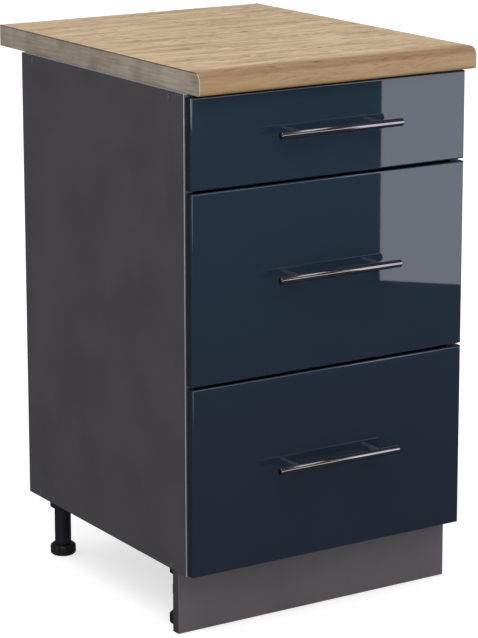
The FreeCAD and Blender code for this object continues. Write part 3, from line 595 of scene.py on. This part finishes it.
def worktopOutline(low, high, shrink=0.0):
    points = [(high.y - shrink, high.z - shrink)]
    arcs = ((worktop["noseSteps"], worktop["nose"], high.z - worktop["nose"], 90),
            (worktop["lowerSteps"], worktop["lower"], low.z + worktop["lower"], 180))
    for steps, radius, centreZ, start in arcs:
        for i in range(steps + 1):
            angle = math.radians(start + 90 * i / steps)
            points.append((low.y + radius + (radius - shrink) * math.cos(angle),
                           centreZ + (radius - shrink) * math.sin(angle)))
    points.append((low.y + worktop["wrapUnder"], low.z + shrink))
    points.append((high.y - shrink, low.z + shrink))
    return points


def makeWorktop():
    low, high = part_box("worktop")
    outline = worktopOutline(low, high)
    count = len(outline)
    wrapped = count - 2                                 # the laminate ends under the front edge
    distance = [sum(math.dist(outline[k], outline[k + 1]) for k in range(i, wrapped)) for i in range(count)]
    bm = bmesh.new()
    wrap = bm.loops.layers.uv.new("wrap")
    rows = [[bm.verts.new((x, y, z)) for y, z in outline] for x in (low.x, high.x)]
    for i in range(count):
        j = (i + 1) % count
        face = bm.faces.new((rows[0][i], rows[0][j], rows[1][j], rows[1][i]))
        face.material_index = 0 if i < wrapped else i - wrapped + 1
        for loop, k in zip(face.loops, (i, j, j, i)):
            loop[wrap].uv = (loop.vert.co.x, distance[k])
    for row in rows:
        bm.faces.new(row).material_index = 2
    item = makeObject("worktopBoard", bm, [oak, kraft, chipboard], worktop["flatAbove"])
    settle(item, "carcass", "oak_laminate", "worktop")


def makeEndStrips():
    low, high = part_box("worktop_end_bands")
    bm = bmesh.new()
    for outer, inward in ((low.x, 1), (high.x, -1)):
        rings = []
        for depth, shrink in ((worktop["strip"], 0.0), (worktop["arris"], 0.0), (0.0, worktop["arris"])):
            x = outer + inward * depth
            rings.append([bm.verts.new((x, y, z)) for y, z in worktopOutline(low, high, shrink)])
        for first, second in zip(rings, rings[1:]):
            for i in range(len(first)):
                j = (i + 1) % len(first)
                bm.faces.new((first[i], first[j], second[j], second[i]))
        bm.faces.new(rings[0])
        bm.faces.new(rings[-1])
    item = makeObject("worktopEndStrips", bm, [oakEnd], worktop["flatAbove"])
    settle(item, "carcass", "oak_end_strip", "worktop_end_bands")


makeWorktop()
makeEndStrips()
print("worktop made")


# carcass

carcass = {"board": 16 * mm, "bandArris": 0.8 * mm, "plinthArris": 0.6 * mm}
confirmats = {"fromFront": 46 * mm, "fromRear": 34 * mm, "sink": 0.4 * mm,
              "sizes": {"Head Radius": 5 * mm, "Head Height": 3 * mm, "Top Share": 0.93,
                        "Shank Radius": 3.5 * mm, "Shank Length": 46 * mm, "Recess Radius": 2.3 * mm,
                        "Recess Depth": 2 * mm, "Cross Recess": False, "Seed": 3}}
panScrews = {"fromSide": 110 * mm, "railHalf": 45 * mm,
             "sizes": {"Head Radius": 4 * mm, "Head Height": 2.2 * mm, "Top Share": 0.72,
                       "Shank Radius": 2 * mm, "Shank Length": 34 * mm, "Recess Radius": 2.2 * mm,
                       "Recess Depth": 1.3 * mm, "Cross Recess": True, "Seed": 5}}

for side in sides:
    paint("side_panel_" + side, sideMelamine)
for node in ("bottom_panel", "top_rail_front", "top_rail_rear"):
    paint(node, boardMelamine)
paint("back_panel", fibreboard)

low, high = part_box("side_edge_bands")
bm = bmesh.new()
for left in (low.x, high.x - carcass["board"]):
    addBoard(bm, (left, low.y, low.z), (left + carcass["board"], high.y, high.z), carcass["bandArris"], 3,
             lambda middle: middle.y < low.y + hair)
settle(makeObject("edgeBands", bm, [edgeBand], boardFace), "carcass", "edge_band", "side_edge_bands")

low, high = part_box("plinth_board")
bm = bmesh.new()
addBoard(bm, low, high, carcass["plinthArris"])
item = makeObject("plinthBoard", bm, [plinthLightenedMelamine], boardFace)
settle(item, "carcass", "plinth_melamine", "plinth_board")

sideLow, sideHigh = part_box("side_panel_left")
frontY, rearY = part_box("side_edge_bands")[0].y, sideHigh.y
leftX, rightX = sideLow.x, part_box("side_panel_right")[1].x
railLow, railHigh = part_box("top_rail_front")
levels = (sideLow.z + carcass["board"] / 2, sideHigh.z - carcass["board"] / 2)
spots = [((x - aim * confirmats["sink"], y, z), (aim, 0, 0)) for x, aim in ((leftX, -1), (rightX, 1))
         for y in (frontY + confirmats["fromFront"], rearY - confirmats["fromRear"]) for z in levels]
item = driveScrews("confirmatScrews", spots, confirmats["sizes"])
settle(item, "carcass", "zinc_screw", "confirmat_screws")
screwLevel = railLow.z - panScrews["sizes"]["Head Height"]
spots = [((x, y, screwLevel), (0, 0, -1))
         for x in (railLow.x + panScrews["fromSide"], railHigh.x - panScrews["fromSide"])
         for y in (railLow.y + panScrews["railHalf"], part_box("top_rail_rear")[1].y - panScrews["railHalf"])]
settle(driveScrews("worktopScrews", spots, panScrews["sizes"]), "carcass", "zinc_screw", "worktop_screws")
print("carcass made")


# legs, feet and plinth clips

legSizes = {"tube": 13.5 * mm, "flange": 20.5 * mm, "ease": 0.4 * mm, "bore": 6.05 * mm, "boreTop": 69 * mm,
            "tubeEnd": 18.5 * mm, "cone": (78 * mm, 83 * mm), "top": 100 * mm, "spigot": 5 * mm,
            "spigotTop": 112 * mm, "segments": 64}
footSizes = {"rim": 21 * mm, "height": 18 * mm, "chamfer": 3 * mm, "ease": 0.5 * mm, "spindle": 6 * mm,
             "spindleTop": 68 * mm, "segments": 96,
             "notches": {"Count": 8, "Rim Radius": 21 * mm, "Notch Radius": 2.3 * mm, "Height": 50 * mm}}


def makeLeg(spot):
    low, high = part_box("leg_" + spot)
    middle = ((low.x + high.x) / 2, (low.y + high.y) / 2, 0)
    tube, flange, ease, bore = (legSizes[key] for key in ("tube", "flange", "ease", "bore"))
    boreTop, end, (coneStart, coneEnd) = (legSizes[key] for key in ("boreTop", "tubeEnd", "cone"))
    top, spigot, spigotTop = (legSizes[key] for key in ("top", "spigot", "spigotTop"))
    profile = [(boreTop, 0), (boreTop, bore), (end, bore), (end, tube - ease), (end + ease, tube),
               (coneStart, tube), (coneEnd - ease / 2, flange - ease), (coneEnd + ease / 2, flange),
               (top - ease, flange), (top, flange - ease), (top, spigot), (spigotTop - ease, spigot),
               (spigotTop, spigot - ease), (spigotTop, 0)]
    bm = bmesh.new()
    addTurned(bm, profile, middle, (0, 0, 1), legSizes["segments"])
    settle(makeObject("leg_tube_" + spot, bm, [blackPlastic]), "carcass", "black_plastic", "leg_" + spot)


def makeFoot(spot):
    low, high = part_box("foot_" + spot)
    middle = Vector(((low.x + high.x) / 2, (low.y + high.y) / 2, 0))
    rim, height, chamfer, ease = (footSizes[key] for key in ("rim", "height", "chamfer", "ease"))
    spindle, spindleTop = footSizes["spindle"], footSizes["spindleTop"]
    # each chamfer's arrises are eased by one slanting step
    edge = [(0, rim - chamfer - ease), (ease * 0.4, rim - chamfer), (chamfer, rim - ease * 0.2),
            (chamfer + ease, rim)]
    profile = [(0, 0), *bothEnds(edge, height), (height, spindle), (spindleTop, spindle), (spindleTop, 0)]
    bm = bmesh.new()
    addTurned(bm, profile, middle, (0, 0, 1), footSizes["segments"])
    item = makeObject("foot_disc_" + spot, bm, [blackPlastic])
    grow(item, notchTree, {**footSizes["notches"], "Centre": middle, "Material": blackPlastic})
    settle(item, "foot_" + spot, "black_plastic", "foot_" + spot)


for spot in ("front_left", "front_right", "rear_left", "rear_right"):
    makeLeg(spot)
    makeFoot(spot)
paint("plinth_clips", blackPlastic)
print("legs and feet made")


# runners: offsets count inwards from the side panel, heights from the underside of the drawer box

pinSegments = 24
runnerSizes = {"sheet": 1.2 * mm, "floor": 10.7 * mm, "lip": 8 * mm, "ease": 0.45 * mm,
               "pinAt": 12 * mm, "pinLevel": 11.2 * mm, "collar": 3.2 * mm, "pin": 2 * mm,
               "collarEnd": 2.3 * mm, "pinEnd": 9.9 * mm, "headEnd": 10.5 * mm,
               "screwEnd": 40 * mm, "screwLevel": 18.8 * mm}
rollerSizes = {"radius": 9 * mm, "width": 7 * mm, "bore": 2.05 * mm, "ease": 0.7 * mm, "rim": 7.2 * mm,
               "hub": 4 * mm, "dish": 0.8 * mm, "segments": 48}
runnerScrews = {"Head Radius": 3.5 * mm, "Head Height": 1 * mm, "Top Share": 0.75, "Shank Radius": 2 * mm,
                "Shank Length": 13 * mm, "Recess Radius": 1.9 * mm, "Recess Depth": 0.8 * mm,
                "Cross Recess": True, "Seed": 11}


# a stepped pin with a riveted head, which carries a roller
def addPin(bm, stations, radii, origin, axis):
    profile = [(stations[0], 0)]
    for radius, start, end in zip(radii, stations, stations[1:]):
        profile += [(start, radius), (end, radius)]
    profile.append((stations[-1], 0))
    addTurned(bm, profile, origin, axis, pinSegments)


def makeRunner(drawer, side):
    low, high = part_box(f"runner_{drawer}_{side}")
    wall, inward = (low.x, 1) if side == "left" else (high.x, -1)
    sheet, floor, lip = runnerSizes["sheet"], runnerSizes["floor"], runnerSizes["lip"]
    top = high.z - low.z
    outline = [(0, 0), (floor, 0), (floor, sheet), (sheet, sheet), (sheet, top - sheet), (lip, top - sheet),
               (lip, top), (0, top)]
    bm = bmesh.new()
    addFolded(bm, [(wall + inward * offset, low.z + height) for offset, height in outline], low.y, high.y,
              runnerSizes["ease"])
    stations = [sheet / 2, runnerSizes["collarEnd"], runnerSizes["pinEnd"], runnerSizes["headEnd"]]
    addPin(bm, stations, (runnerSizes["collar"], runnerSizes["pin"], runnerSizes["collar"]),
           (wall, low.y + runnerSizes["pinAt"], low.z + runnerSizes["pinLevel"]), (inward, 0, 0))
    item = makeObject(f"runner_channel_{drawer}_{side}", bm, [coatedSteel], boardFace)
    settle(item, "carcass", "coated_steel", f"runner_{drawer}_{side}")
    headX = wall + inward * (sheet + runnerScrews["Head Height"])
    screwY = (low.y + runnerSizes["screwEnd"], (low.y + high.y) / 2, high.y - runnerSizes["screwEnd"])
    return [((headX, y, low.z + runnerSizes["screwLevel"]), (inward, 0, 0)) for y in screwY]


def makeRollers(node):
    low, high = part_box(node)
    middle = ((low.y + high.y) / 2, (low.z + high.z) / 2)
    radius, width, ease, dish = (rollerSizes[key] for key in ("radius", "width", "ease", "dish"))
    rim, hub, bore = (rollerSizes[key] for key in ("rim", "hub", "bore"))
    face = [(0, bore), (0, hub), (dish, hub + dish / 2), (dish, rim - dish / 2), (0, rim), (0, radius - ease),
            (ease * 0.3, radius - ease * 0.3), (ease, radius)]
    profile = bothEnds(face, width) + [(0, bore)]
    bm = bmesh.new()
    for start in (low.x, high.x - width):
        addTurned(bm, profile, (start, *middle), (1, 0, 0), rollerSizes["segments"])
    settle(makeObject(node.replace("rollers", "wheels"), bm, [nylon]), node, "nylon", node)


spots = []
for drawer in drawers:
    for side in sides:
        spots += makeRunner(drawer, side)
    makeRollers("front_rollers_" + drawer)
    makeRollers("rear_rollers_" + drawer)
settle(driveScrews("runnerScrews", spots, runnerScrews), "carcass", "zinc_screw", "runner_screws")
print("runners made")


# drawers

frontSizes = {"arris": 2.5 * mm, "steps": 6}
barSizes = {"chamfer": 0.8 * mm, "ease": 0.12 * mm, "segments": 96}
postSizes = {"spacing": 150 * mm, "radius": 5 * mm, "ease": 0.3 * mm, "segments": 48, "intoBar": 3.5 * mm}
handleScrews = {"Head Radius": 4 * mm, "Head Height": 2.4 * mm, "Top Share": 0.75, "Shank Radius": 2 * mm,
                "Shank Length": 25 * mm, "Recess Radius": 2.2 * mm, "Recess Depth": 1.4 * mm,
                "Cross Recess": True, "Seed": 21}
# offsets from the outer side of the steel wall, heights from the underside of the box
wallSizes = {"space": 13 * mm, "sheet": 1.2 * mm, "flange": 12 * mm, "height": 86 * mm, "rim": 4 * mm,
             "running": 9.5 * mm, "runningLevel": 20.5 * mm, "ease": 0.45 * mm, "tabWidth": 15 * mm,
             "tabLevel": 17.2 * mm, "tabHeight": 50 * mm, "pinFromRear": 14 * mm, "pinLevel": 10.5 * mm,
             "head": 1.7 * mm, "pinStart": 2.3 * mm, "pinEnd": 9.9 * mm, "collar": 3.2 * mm, "pin": 2 * mm,
             "gap": 0.2 * mm, "tabArris": 0.3 * mm}
rodSizes = {"radius": 5 * mm, "cup": 8 * mm, "cupLength": 10 * mm, "ease": 0.6 * mm, "segments": 40}


def makeFront(drawer):
    low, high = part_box(f"drawer_{drawer}_front")
    bm = bmesh.new()
    addBoard(bm, low, high, frontSizes["arris"], frontSizes["steps"],
             lambda middle: middle.y < low.y + hair)
    for face in bm.faces:
        middle = face.calc_center_median()
        if middle.y > high.y - hair:
            face.material_index = 2                     # the rear face is plain melamine
        # faces behind the arrises take the near-black edge tone: painted shade in the gaps
        elif middle.y > low.y + frontSizes["arris"] + 1 * mm:
            face.material_index = 1
    item = makeObject(f"drawer_{drawer}_foil_front", bm, [navyFoil, frontGapShade, frontRear], boardFace)
    settle(item, "drawer_" + drawer, "navy_gloss", f"drawer_{drawer}_front")


def makeHandle(drawer):
    low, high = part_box(f"handle_{drawer}_bar")
    radius, length = (high.z - low.z) / 2, high.x - low.x
    middle = (Vector(low) + Vector(high)) / 2
    chamfer, ease = barSizes["chamfer"], barSizes["ease"]
    end = [(0, 0), (0, radius - chamfer - ease), (ease * 0.4, radius - chamfer - ease * 0.4),
           (chamfer - ease * 0.4, radius - ease * 0.4), (chamfer + ease, radius)]
    bm = bmesh.new()
    addTurned(bm, bothEnds(end, length), (low.x, middle.y, middle.z), (1, 0, 0), barSizes["segments"])
    body = "drawer_" + drawer
    item = makeObject(f"handle_{drawer}_round_bar", bm, [barSteel])
    settle(item, body, "stainless", f"handle_{drawer}_bar")
    frontLow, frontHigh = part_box(f"drawer_{drawer}_front")
    reach = frontLow.y - middle.y - postSizes["intoBar"]
    post, ease = postSizes["radius"], postSizes["ease"]
    bm = bmesh.new()
    spots = []
    for x in (middle.x - postSizes["spacing"] / 2, middle.x + postSizes["spacing"] / 2):
        addTurned(bm, [(0, 0), (0, post - ease), (ease, post), (reach, post), (reach, 0)],
                  (x, frontLow.y, middle.z), (0, -1, 0), postSizes["segments"])
        spots.append(((x, frontHigh.y + handleScrews["Head Height"], middle.z), (0, 1, 0)))
    item = makeObject(f"handle_{drawer}_round_posts", bm, [postSteel])
    settle(item, body, "stainless", f"handle_{drawer}_posts")
    item = driveScrews(f"handle_{drawer}_pan_screws", spots, handleScrews)
    settle(item, body, "zinc_screw", f"handle_{drawer}_screws")


def makeSteelWall(drawer, side):
    node = f"drawer_{drawer}_side_{side}"
    low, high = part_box(node)
    floorLow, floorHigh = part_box(f"drawer_{drawer}_bottom")
    sheet, ease, gap, tab = (wallSizes[key] for key in ("sheet", "ease", "gap", "tabLevel"))
    # the inner face of the wall stands just outside the drawer's floor board
    inner, outward = (floorLow.x - gap, -1) if side == "left" else (floorHigh.x + gap, 1)
    wall = inner + outward * sheet
    height, rim, flange = wallSizes["height"], wallSizes["rim"], wallSizes["flange"]
    running, level = wallSizes["running"], wallSizes["runningLevel"]

    def across(points):
        return [(wall + outward * offset, low.z + z) for offset, z in points]

    bm = bmesh.new()
    section = [(-flange, 0), (0, 0), (0, height - sheet), (rim - sheet, height - sheet),
               (rim - sheet, height - rim), (rim, height - rim), (rim, height), (-sheet, height),
               (-sheet, sheet), (-flange, sheet)]
    addFolded(bm, across(section), low.y, high.y, ease)
    ledge = [(0, level), (running, level), (running, level + 2 * sheet), (0, level + 2 * sheet)]
    addFolded(bm, across(ledge), low.y, high.y, ease * 2)
    tabLow, tabHigh = sorted((wall, wall - outward * wallSizes["tabWidth"]))
    addBoard(bm, (tabLow, low.y, low.z + tab), (tabHigh, low.y + sheet, low.z + tab + wallSizes["tabHeight"]),
             wallSizes["tabArris"])
    origin = (wall + outward * wallSizes["space"], high.y - wallSizes["pinFromRear"],
              low.z + wallSizes["pinLevel"])
    stations = [wallSizes[key] for key in ("head", "pinStart", "pinEnd", "space")]
    radii = [wallSizes[key] for key in ("collar", "pin", "collar")]
    addPin(bm, stations, radii, origin, (-outward, 0, 0))
    item = makeObject(f"drawer_{drawer}_steel_{side}", bm, [coatedSteel], boardFace)
    settle(item, "drawer_" + drawer, "coated_steel", node)


def makeRods(drawer):
    low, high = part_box("gallery_rods_" + drawer)
    level = (low.z + high.z) / 2
    length = high.y - low.y
    radius, cup, reach, ease = (rodSizes[key] for key in ("radius", "cup", "cupLength", "ease"))
    end = [(0, 0), (0, cup - ease), (ease, cup), (reach - ease, cup), (reach, cup - ease), (reach, radius)]
    bm = bmesh.new()
    for x in (low.x + cup, high.x - cup):
        addTurned(bm, bothEnds(end, length), (x, low.y, level), (0, 1, 0), rodSizes["segments"])
    item = makeObject(f"gallery_rods_round_{drawer}", bm, [coatedSteel])
    settle(item, "drawer_" + drawer, "coated_steel", "gallery_rods_" + drawer)


for drawer in drawers:
    makeFront(drawer)
    makeHandle(drawer)
    for side in sides:
        makeSteelWall(drawer, side)
    paint(f"drawer_{drawer}_bottom", drawerMelamine)
    paint(f"drawer_{drawer}_back", drawerMelamine)
for drawer in ("2", "3"):
    makeRods(drawer)
print("drawers made")


# studio: a pale floor, soft lamps, and cards that only reflections show

studio = {
    "floorColour": "#c8c8c8", "floorGlow": 0.62, "floorSize": 30, "worldStrength": 0.92,
    "lampAim": (0, 0, 0.4),
    "key": {"place": (-1.2, -1.6, 3.2), "size": 2.4, "power": 38},
    "fill": {"place": (-3.2, -0.4, 1.2), "size": 2.0, "power": 2},
    # a grey room round the cabinet keeps the gloss fronts dark
    "roomReach": 7.0, "roomTop": 5.2, "roomFloor": 0.0008,
    "floorTone": "#56595f", "wallTone": "#6a6a6c", "ceilingTone": "#6c6a6f",
}
# name: colour, strength and corners; the fronts mirror the pale card at their right, and the left card
# lights the left arris of the top front
cards = {
    "windowCard": ("#fff8f8", 3.2,
                   ((-2, -6.5, 1.2), (6.9, -6.5, 1.2), (6.9, -6.5, 2.5), (-2, -6.5, 2.5))),
    "ceilingCard": ("#f4f6ff", 2.4,
                    ((1.9, -4.0, 5.1), (2.6, -4.0, 5.1), (2.6, 1.0, 5.1), (1.9, 1.0, 5.1))),
    "paleCard": ("#f4f4ff", 2.72,
                 ((0.956, -1.5, 0.166), (1.9, -1.5, 0.004), (1.9, -1.5, 1.6), (0.956, -1.5, 1.6))),
    "leftCard": ("#e6f2f6", 9.0,
                 ((-2.5, -3.2, 0.21), (-2.5, 0.1, 0.45), (-2.5, 0.1, 0.5), (-2.5, -3.2, 0.5))),
}


def stagePlane(name, corners, material):
    bm = bmesh.new()
    bm.faces.new([bm.verts.new(corner) for corner in corners])
    item = makeObject(name, bm, [material], flatAbove=0.0)
    return item


def addCard(name, colour, strength, corners):
    material, tree = emptyMaterial(name)
    glow = addNode(tree, "Emission", {"Color": linear(colour), "Strength": strength})
    addNode(tree, "OutputMaterial", {"Surface": glow})
    item = stagePlane(name, corners, material)
    for ray in ("camera", "diffuse", "transmission", "volume_scatter", "shadow"):
        setattr(item, "visible_" + ray, False)


def seenDirectly(tree):
    paths = addNode(tree, "LightPath").outputs
    first = addNode(tree, "Math", {0: paths["Is Camera Ray"], 1: paths["Is Glossy Ray"]}, operation="ADD")
    return addNode(tree, "Math", {0: first, 1: paths["Is Transmission Ray"]}, operation="ADD", use_clamp=True)


def makeFloor():
    material, tree = emptyMaterial("paperFloor")
    paper = addNode(tree, "BsdfDiffuse", {"Color": linear(studio["floorColour"])})
    lift = addNode(tree, "Math", {0: seenDirectly(tree), 1: studio["floorGlow"]}, operation="MULTIPLY")
    glow = addNode(tree, "Emission", {"Strength": lift})
    both = addNode(tree, "AddShader", {0: paper, 1: glow})
    addNode(tree, "OutputMaterial", {"Surface": both})
    reach = studio["floorSize"]
    corners = ((-reach, -reach, 0), (reach, -reach, 0), (reach, reach, 0), (-reach, reach, 0))
    stagePlane("floor", corners, material)


def makeWorld():
    world = bpy.data.worlds.new("softStudio")
    scene.world = world
    world.use_nodes = True
    tree = world.node_tree
    tree.nodes.clear()
    strength = addNode(tree, "MapRange", {
        "Value": seenDirectly(tree), "To Min": studio["worldStrength"], "To Max": 1.0})
    sky = addNode(tree, "Background", {"Color": (1, 1, 1, 1), "Strength": strength})
    addNode(tree, "OutputWorld", {"Surface": sky})


def makeRoom():
    far, top, bottom = studio["roomReach"], studio["roomTop"], studio["roomFloor"]
    corners = ((-far, -far), (far, -far), (far, far), (-far, far))
    addCard("floorFlag", studio["floorTone"], 1.0, [(x, y, bottom) for x, y in corners])
    addCard("ceilingFlag", studio["ceilingTone"], 1.0, [(x, y, top) for x, y in corners])
    for i, name in enumerate(("frontFlag", "rightFlag", "rearFlag", "leftFlag")):
        (ax, ay), (bx, by) = corners[i], corners[(i + 1) % 4]
        addCard(name, studio["wallTone"], 1.0, ((ax, ay, 0), (bx, by, 0), (bx, by, top), (ax, ay, top)))
    for name, (colour, strength, corners) in cards.items():
        addCard(name, colour, strength, corners)


def addLamp(name, place, size, power):
    lamp = bpy.data.lights.new(name, "AREA")
    lamp.size = size
    lamp.energy = power
    item = bpy.data.objects.new(name, lamp)
    item.location = place
    aim = Vector(studio["lampAim"]) - item.location
    item.rotation_euler = aim.to_track_quat("-Z", "Y").to_euler()
    scene.collection.objects.link(item)


makeFloor()
makeWorld()
makeRoom()
addLamp("keySoftbox", **studio["key"])
addLamp("sideFill", **studio["fill"])


# camera at the photograph's angle: yaw to the right, pitch downwards, in radians; the lens in millimetres

shot = {"place": (-2.21008, -3.49585, 1.45365), "yaw": 0.5663, "pitch": 0.2159, "roll": 0.0012,
        "lens": 148.83, "shift": -0.130}


def makeCamera():
    level = math.cos(shot["pitch"])
    sine, cosine = math.sin(shot["yaw"]), math.cos(shot["yaw"])
    forward = Vector((sine * level, cosine * level, -math.sin(shot["pitch"])))
    right = Matrix.Rotation(shot["roll"], 3, forward) @ Vector((cosine, -sine, 0))
    camera = bpy.data.cameras.new("camera")
    camera.lens = shot["lens"]
    camera.shift_y = shot["shift"]
    item = bpy.data.objects.new("camera", camera)
    axes = Matrix((right, right.cross(forward), -forward)).transposed()
    item.matrix_world = Matrix.Translation(shot["place"]) @ axes.to_4x4()
    scene.collection.objects.link(item)
    scene.camera = item
    scene.view_settings.view_transform = "Standard"


makeCamera()
print("studio and camera made")
